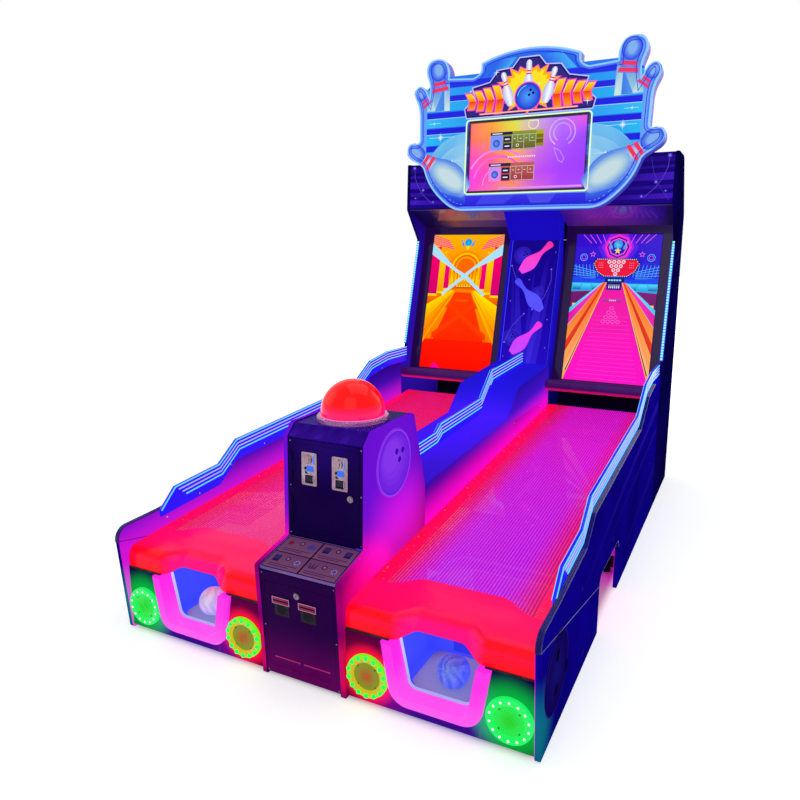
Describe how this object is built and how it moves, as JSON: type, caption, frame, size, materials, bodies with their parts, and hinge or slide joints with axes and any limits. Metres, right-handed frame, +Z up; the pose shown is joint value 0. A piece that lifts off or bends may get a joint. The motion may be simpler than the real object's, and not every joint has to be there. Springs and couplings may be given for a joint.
{
  "type": "bowling arcade machine",
  "caption": "Free-standing twin-lane arcade bowling machine: sloping lanes with screens at the back, a lit sign, ball trays and a central coin and ticket cabinet.",
  "frame": {"origin": "bottom centre of the whole machine's box, on the floor", "axes": "+X to the player's right, -Y towards the players, +Z up"},
  "size_m": [1.7, 2.8959, 2.6405],
  "materials": {
    "printed_board": "satin printed laminate",
    "cabinet_board": "satin black laminate",
    "light_guide": "clear acrylic, edge lit",
    "divider_black": "gloss black laminate",
    "lane_surface": "ribbed, satin",
    "bearer_wood": "bare plywood",
    "apron_red": "moulded, gloss",
    "gasket_rubber": "matt",
    "fascia_board": "printed laminate",
    "glow_trim": "translucent, edge lit",
    "tray_plastic": "moulded, matt",
    "lamp_green": "frosted lens",
    "lamp_amber": "frosted lens",
    "cover_laminate": "satin black powder coat",
    "door_steel": "textured black powder coat",
    "bezel_metal": "cast zinc with a satin coat",
    "mechanism_plastic": "moulded, matt",
    "button_plastic": "translucent",
    "flap_plastic": "moulded, matt",
    "lock_chrome": "polished",
    "ticket_plastic": "moulded, gloss",
    "roller_rubber": "ground rubber",
    "instruction_print": "printed sheet under clear film",
    "cash_box_steel": "zinc plated",
    "ring_clear": "clear acrylic",
    "dome_red": "tinted, gloss",
    "column_board": "printed laminate",
    "column_print": "printed sheet, back lit",
    "pin_acrylic": "milky acrylic, edge lit",
    "bezel_black": "satin black",
    "screen_glass": "display glass",
    "canopy_gloss": "gloss black",
    "header_print": "printed sheet metal",
    "housing_metal": "satin black powder coat",
    "rear_board": "black laminate",
    "inlet_plastic": "moulded, matt",
    "bar_padding": "padded vinyl sleeve",
    "sign_case": "folded sheet metal",
    "sign_print": "printed acrylic, back lit",
    "ball_blue": "polished",
    "ball_white": "polished",
    "frame_steel": "black powder coat"
  },
  "bodies": {
    "machine": {"apron_gaskets": "gasket_rubber", "apron_left": "apron_red", "apron_right": "apron_red", "ball_returns": "tray_plastic", "ball_trays": "tray_plastic", "base_frame": "frame_steel", "beacon_base": "ring_clear", "beacon_dome": "dome_red", "cabinet_floor": "cabinet_board", "canopy_panels": "canopy_gloss", "coin_front_frame": "cover_laminate", "coin_sides": "cabinet_board", "coin_top_cover": "cover_laminate", "column_face": "column_print", "column_walls": "column_board", "divider_light": "light_guide", "divider_shell": "divider_black", "fascias": "fascia_board", "header_front": "header_print", "impact_bars": "bar_padding", "inner_lamps": "lamp_amber", "instruction_panel": "instruction_print", "lane_bearers": "bearer_wood", "lane_left": "lane_surface", "lane_right": "lane_surface", "lane_screens": "screen_glass", "marquee_case": "sign_case", "marquee_face": "sign_print", "marquee_monitor": "screen_glass", "opening_trims": "glow_trim", "outer_lamps": "lamp_green", "pin_lamps": "pin_acrylic", "power_inlet": "inlet_plastic", "rear_frame": "rear_board", "rear_sides": "printed_board", "roof_panel": "housing_metal", "screen_bezels": "bezel_black", "side_lights": "light_guide", "side_panel_left": "printed_board", "side_panel_right": "printed_board", "ticket_frame": "cover_laminate"},
    "coin_door": {"coin_door": "door_steel", "coin_bezels": "bezel_metal", "coin_acceptors": "mechanism_plastic"},
    "reject_button_left": {"reject_button_left": "button_plastic"},
    "reject_button_right": {"reject_button_right": "button_plastic"},
    "return_flap_left": {"return_flap_left": "flap_plastic"},
    "return_flap_right": {"return_flap_right": "flap_plastic"},
    "coin_door_lock": {"coin_door_lock": "lock_chrome"},
    "ticket_door": {"ticket_door": "door_steel", "ticket_bezels": "ticket_plastic", "ticket_dispensers": "mechanism_plastic"},
    "ticket_door_lock": {"ticket_door_lock": "lock_chrome"},
    "feed_roller_left": {"feed_roller_left": "roller_rubber"},
    "feed_roller_right": {"feed_roller_right": "roller_rubber"},
    "cash_box": {"cash_box": "cash_box_steel"},
    "rear_door_left": {"rear_door_left": "rear_board"},
    "rear_door_right": {"rear_door_right": "rear_board"},
    "ball_left": {"ball_left": "ball_white"},
    "ball_right": {"ball_right": "ball_blue"}
  },
  "joints": [
    {"name": "coin_door_hinge", "type": "hinge", "parent": "machine", "child": "coin_door", "pos_m": [-0.139, -1.26178, 0.65404], "axis": [0, -0.0351, -0.9994], "range_deg": [0, 110]},
    {"name": "reject_left_press", "type": "slide", "parent": "coin_door", "child": "reject_button_left", "axis": [0, 0.9994, -0.0351], "range_m": [0, 0.004], "stiffness_N_per_m": 400},
    {"name": "reject_right_press", "type": "slide", "parent": "coin_door", "child": "reject_button_right", "axis": [0, 0.9994, -0.0351], "range_m": [0, 0.004], "stiffness_N_per_m": 400},
    {"name": "return_flap_left_hinge", "type": "hinge", "parent": "coin_door", "child": "return_flap_left", "pos_m": [-0.064, -1.25822, 0.70394], "axis": [1, 0, 0], "range_deg": [-60, 0]},
    {"name": "return_flap_right_hinge", "type": "hinge", "parent": "coin_door", "child": "return_flap_right", "pos_m": [0.064, -1.25822, 0.70394], "axis": [1, 0, 0], "range_deg": [-60, 0]},
    {"name": "coin_door_key", "type": "hinge", "parent": "coin_door", "child": "coin_door_lock", "pos_m": [0.105, -1.25783, 0.64389], "axis": [0, 0.9994, -0.0351], "range_deg": [0, 90]},
    {"name": "ticket_door_hinge", "type": "hinge", "parent": "machine", "child": "ticket_door", "pos_m": [0, -1.42331, 0.04476], "axis": [1, 0, 0], "range_deg": [0, 90]},
    {"name": "ticket_door_key", "type": "hinge", "parent": "ticket_door", "child": "ticket_door_lock", "pos_m": [-0.004, -1.43225, 0.34166], "axis": [0, 0.999, 0.0446], "range_deg": [0, 90]},
    {"name": "feed_roller_left_spin", "type": "hinge", "parent": "ticket_door", "child": "feed_roller_left", "pos_m": [-0.072, -1.37701, 0.29257], "axis": [1, 0, 0], "continuous": true},
    {"name": "feed_roller_right_spin", "type": "hinge", "parent": "ticket_door", "child": "feed_roller_right", "pos_m": [0.038, -1.37701, 0.29257], "axis": [1, 0, 0], "continuous": true},
    {"name": "cash_box_lift", "type": "slide", "parent": "machine", "child": "cash_box", "axis": [0, 0, 1], "range_m": [0, 0.03]},
    {"name": "rear_door_left_hinge", "type": "hinge", "parent": "machine", "child": "rear_door_left", "pos_m": [-0.779, 1.44329, 0.84], "axis": [0, 0, 1], "range_deg": [0, 100]},
    {"name": "rear_door_right_hinge", "type": "hinge", "parent": "machine", "child": "rear_door_right", "pos_m": [0.779, 1.44329, 0.84], "axis": [0, 0, -1], "range_deg": [0, 100]},
    {"name": "ball_left_lift", "type": "slide", "parent": "machine", "child": "ball_left", "axis": [0, 0, 1], "range_m": [0, 0.09]},
    {"name": "ball_right_lift", "type": "slide", "parent": "machine", "child": "ball_right", "axis": [0, 0, 1], "range_m": [0, 0.09]}
  ]
}
